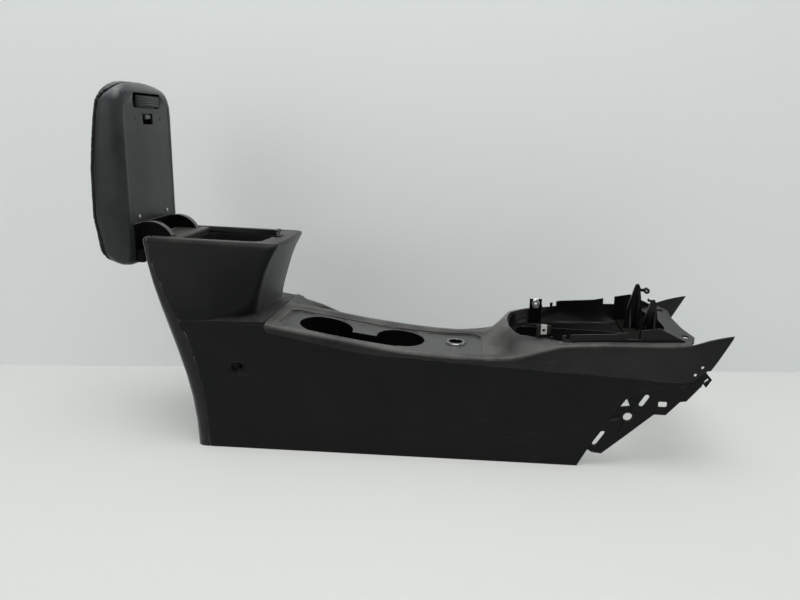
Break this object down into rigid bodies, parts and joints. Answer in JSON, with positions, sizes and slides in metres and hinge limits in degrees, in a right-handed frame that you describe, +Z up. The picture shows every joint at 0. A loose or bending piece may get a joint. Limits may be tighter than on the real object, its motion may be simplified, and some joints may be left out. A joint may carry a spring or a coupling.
{
  "type": "car center console",
  "caption": "Long floor console for a car, with cup holders, a power socket, a handbrake slot, a gear shift opening and a storage bin under a hinged, padded armrest that stands open.",
  "frame": {"origin": "on the floor, under the middle of the whole part's length and width", "axes": "+X forward along the car, +Y to the car's left, where the handbrake stands, +Z up"},
  "size_m": [0.93, 0.2282, 0.553],
  "materials": {
    "side_plastic": "fine-grained moulded plastic, charcoal",
    "deck_plastic": "satin painted plastic, dark grey",
    "tray_plastic": "satin moulded plastic, dark grey",
    "frame_plastic": "smooth moulded plastic, black",
    "tub_plastic": "dull moulded plastic, black",
    "lid_plastic": "fine-grained moulded plastic, grey",
    "lid_vinyl": "grained soft vinyl, charcoal",
    "zinc": "zinc-plated steel",
    "chrome": "nickel-plated metal"
  },
  "bodies": {
    "console": {"bin_surround": "side_plastic", "bin_tub": "tub_plastic", "cup_tray": "tray_plastic", "hinge_pin_left": "zinc", "hinge_pin_right": "zinc", "rear_cover": "side_plastic", "rear_deck": "deck_plastic", "shift_frame": "frame_plastic", "side_panel_left": "side_plastic", "side_panel_right": "side_plastic", "socket_barrel": "tub_plastic", "socket_bezel": "chrome", "socket_contact": "chrome", "spring_nut_left": "zinc", "spring_nut_right": "zinc", "striker": "frame_plastic", "top_finisher": "deck_plastic"},
    "lid": {"arm_screw_left": "zinc", "arm_screw_right": "zinc", "hinge_bracket": "frame_plastic", "latch_pin": "zinc", "lid_core": "frame_plastic", "lid_cushion": "lid_vinyl", "lid_inner_panel": "lid_plastic"},
    "latch": {"latch_button": "frame_plastic"}
  },
  "joints": [
    {"name": "lid_hinge", "type": "hinge", "parent": "console", "child": "lid", "pos_m": [-0.38691, 0, 0.3075], "axis": [0, 1, 0], "range_deg": [0, 89.75]},
    {"name": "latch_pivot", "type": "hinge", "parent": "lid", "child": "latch", "pos_m": [-0.41266, 0, 0.50881], "axis": [0, -1, 0], "range_deg": [0, 7.5], "stiffness_Nm_per_rad": 0.02, "springref_deg": -20.05}
  ]
}
